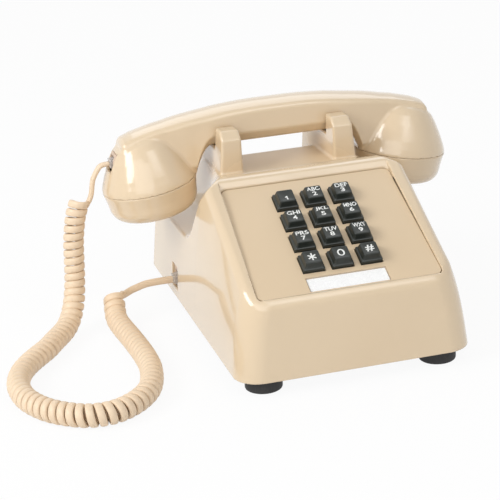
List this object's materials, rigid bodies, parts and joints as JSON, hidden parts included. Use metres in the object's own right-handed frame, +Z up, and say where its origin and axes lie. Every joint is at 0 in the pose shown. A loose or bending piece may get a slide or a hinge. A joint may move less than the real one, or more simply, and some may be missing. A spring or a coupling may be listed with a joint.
{
  "type": "corded landline telephone",
  "caption": "Desk telephone with a push-button dial on a sloping face, a handset lying across a raised cradle, and a curly handset cord that loops on the table beside it.",
  "frame": {"origin": "on the table, under the middle of the telephone and its handset, without the cord", "axes": "+X to the right of someone dialling, along the handset; +Y from the front of the housing to its back; +Z up"},
  "size_m": [0.3065, 0.2335, 0.1328],
  "materials": {
    "beige_gloss": "gloss",
    "beige_satin": "satin",
    "white_card": "matte",
    "clear_plastic": "gloss",
    "zinc_steel": "satin",
    "black_rubber": "matte",
    "grey_plastic": "satin",
    "dark_plastic": "satin",
    "black_plastic": "satin",
    "brown_board": "matte",
    "spring_brass": "satin",
    "gong_brass": "polished",
    "coil_wrap": "satin",
    "cord_jacket": "satin"
  },
  "bodies": {
    "base": {"housing": "beige_gloss", "face_plate": "beige_satin", "number_card": "white_card", "card_window": "clear_plastic", "base_plate": "zinc_steel", "foot_front_left": "black_rubber", "foot_front_right": "black_rubber", "foot_rear_left": "black_rubber", "foot_rear_right": "black_rubber", "housing_screw_front": "zinc_steel", "housing_screw_rear": "zinc_steel", "keypad_frame": "grey_plastic", "keypad_board": "brown_board", "hook_bracket": "zinc_steel", "hook_contacts": "spring_brass", "network_block": "grey_plastic", "ringer_bracket": "zinc_steel", "gong_left": "gong_brass", "gong_right": "gong_brass", "gong_screw_left": "zinc_steel", "gong_screw_right": "zinc_steel", "ringer_coil": "coil_wrap", "cord_jack": "dark_plastic", "base_plug": "clear_plastic", "line_jack": "dark_plastic", "cord_coil": "cord_jacket", "cord_lead_base": "cord_jacket"},
    "handset": {"handset_shell": "beige_gloss", "transmitter_cap": "beige_gloss", "receiver_cap": "beige_gloss", "transmitter_capsule": "zinc_steel", "receiver_capsule": "grey_plastic", "transmitter_cup": "black_plastic", "handset_jack": "dark_plastic", "handset_plug": "clear_plastic", "cord_lead_handset": "cord_jacket"},
    "plunger_left": {"plunger_left": "beige_satin"},
    "plunger_right": {"plunger_right": "beige_satin"},
    "hook_lever": {"hook_lever": "zinc_steel"},
    "clapper": {"clapper": "zinc_steel"},
    "volume_wheel": {"volume_wheel": "grey_plastic"},
    "key_1": {"key_1": "black_plastic"},
    "key_2": {"key_2": "black_plastic"},
    "key_3": {"key_3": "black_plastic"},
    "key_4": {"key_4": "black_plastic"},
    "key_5": {"key_5": "black_plastic"},
    "key_6": {"key_6": "black_plastic"},
    "key_7": {"key_7": "black_plastic"},
    "key_8": {"key_8": "black_plastic"},
    "key_9": {"key_9": "black_plastic"},
    "key_star": {"key_star": "black_plastic"},
    "key_0": {"key_0": "black_plastic"},
    "key_hash": {"key_hash": "black_plastic"}
  },
  "joints": [
    {"name": "handset_lift", "type": "slide", "parent": "base", "child": "handset", "axis": [0, 0, 1], "range_m": [0, 0.08]},
    {"name": "plunger_left_rise", "type": "slide", "parent": "base", "child": "plunger_left", "axis": [0, 0, 1], "range_m": [0, 0.009]},
    {"name": "plunger_right_rise", "type": "slide", "parent": "base", "child": "plunger_right", "axis": [0, 0, 1], "range_m": [0, 0.009]},
    {"name": "hook_lever_pivot", "type": "hinge", "parent": "base", "child": "hook_lever", "pos_m": [0, -0.0117, 0.05], "axis": [1, 0, 0], "range_deg": [0, 9.52]},
    {"name": "clapper_swing", "type": "hinge", "parent": "base", "child": "clapper", "pos_m": [0, 0.0346, 0.0243], "axis": [0, 0, 1], "range_deg": [-7, 7], "stiffness_Nm_per_rad": 0.002},
    {"name": "volume_wheel_turn", "type": "hinge", "parent": "base", "child": "volume_wheel", "pos_m": [0, 0.077, 0.0182], "axis": [1, 0, 0], "range_deg": [0, 90]},
    {"name": "key_1_press", "type": "slide", "parent": "base", "child": "key_1", "axis": [0, 0.4305, -0.9026], "range_m": [0, 0.003], "stiffness_N_per_m": 150, "springref_m": -0.002},
    {"name": "key_2_press", "type": "slide", "parent": "base", "child": "key_2", "axis": [0, 0.4305, -0.9026], "range_m": [0, 0.003], "stiffness_N_per_m": 150, "springref_m": -0.002},
    {"name": "key_3_press", "type": "slide", "parent": "base", "child": "key_3", "axis": [0, 0.4305, -0.9026], "range_m": [0, 0.003], "stiffness_N_per_m": 150, "springref_m": -0.002},
    {"name": "key_4_press", "type": "slide", "parent": "base", "child": "key_4", "axis": [0, 0.4305, -0.9026], "range_m": [0, 0.003], "stiffness_N_per_m": 150, "springref_m": -0.002},
    {"name": "key_5_press", "type": "slide", "parent": "base", "child": "key_5", "axis": [0, 0.4305, -0.9026], "range_m": [0, 0.003], "stiffness_N_per_m": 150, "springref_m": -0.002},
    {"name": "key_6_press", "type": "slide", "parent": "base", "child": "key_6", "axis": [0, 0.4305, -0.9026], "range_m": [0, 0.003], "stiffness_N_per_m": 150, "springref_m": -0.002},
    {"name": "key_7_press", "type": "slide", "parent": "base", "child": "key_7", "axis": [0, 0.4305, -0.9026], "range_m": [0, 0.003], "stiffness_N_per_m": 150, "springref_m": -0.002},
    {"name": "key_8_press", "type": "slide", "parent": "base", "child": "key_8", "axis": [0, 0.4305, -0.9026], "range_m": [0, 0.003], "stiffness_N_per_m": 150, "springref_m": -0.002},
    {"name": "key_9_press", "type": "slide", "parent": "base", "child": "key_9", "axis": [0, 0.4305, -0.9026], "range_m": [0, 0.003], "stiffness_N_per_m": 150, "springref_m": -0.002},
    {"name": "key_star_press", "type": "slide", "parent": "base", "child": "key_star", "axis": [0, 0.4305, -0.9026], "range_m": [0, 0.003], "stiffness_N_per_m": 150, "springref_m": -0.002},
    {"name": "key_0_press", "type": "slide", "parent": "base", "child": "key_0", "axis": [0, 0.4305, -0.9026], "range_m": [0, 0.003], "stiffness_N_per_m": 150, "springref_m": -0.002},
    {"name": "key_hash_press", "type": "slide", "parent": "base", "child": "key_hash", "axis": [0, 0.4305, -0.9026], "range_m": [0, 0.003], "stiffness_N_per_m": 150, "springref_m": -0.002}
  ],
  "couplings": [
    {"joint": "plunger_left_rise", "follows": "handset_lift", "ratio": 0.1125},
    {"joint": "plunger_right_rise", "follows": "handset_lift", "ratio": 0.1125},
    {"joint": "hook_lever_pivot", "follows": "handset_lift", "rad_per_m": 2.075}
  ]
}
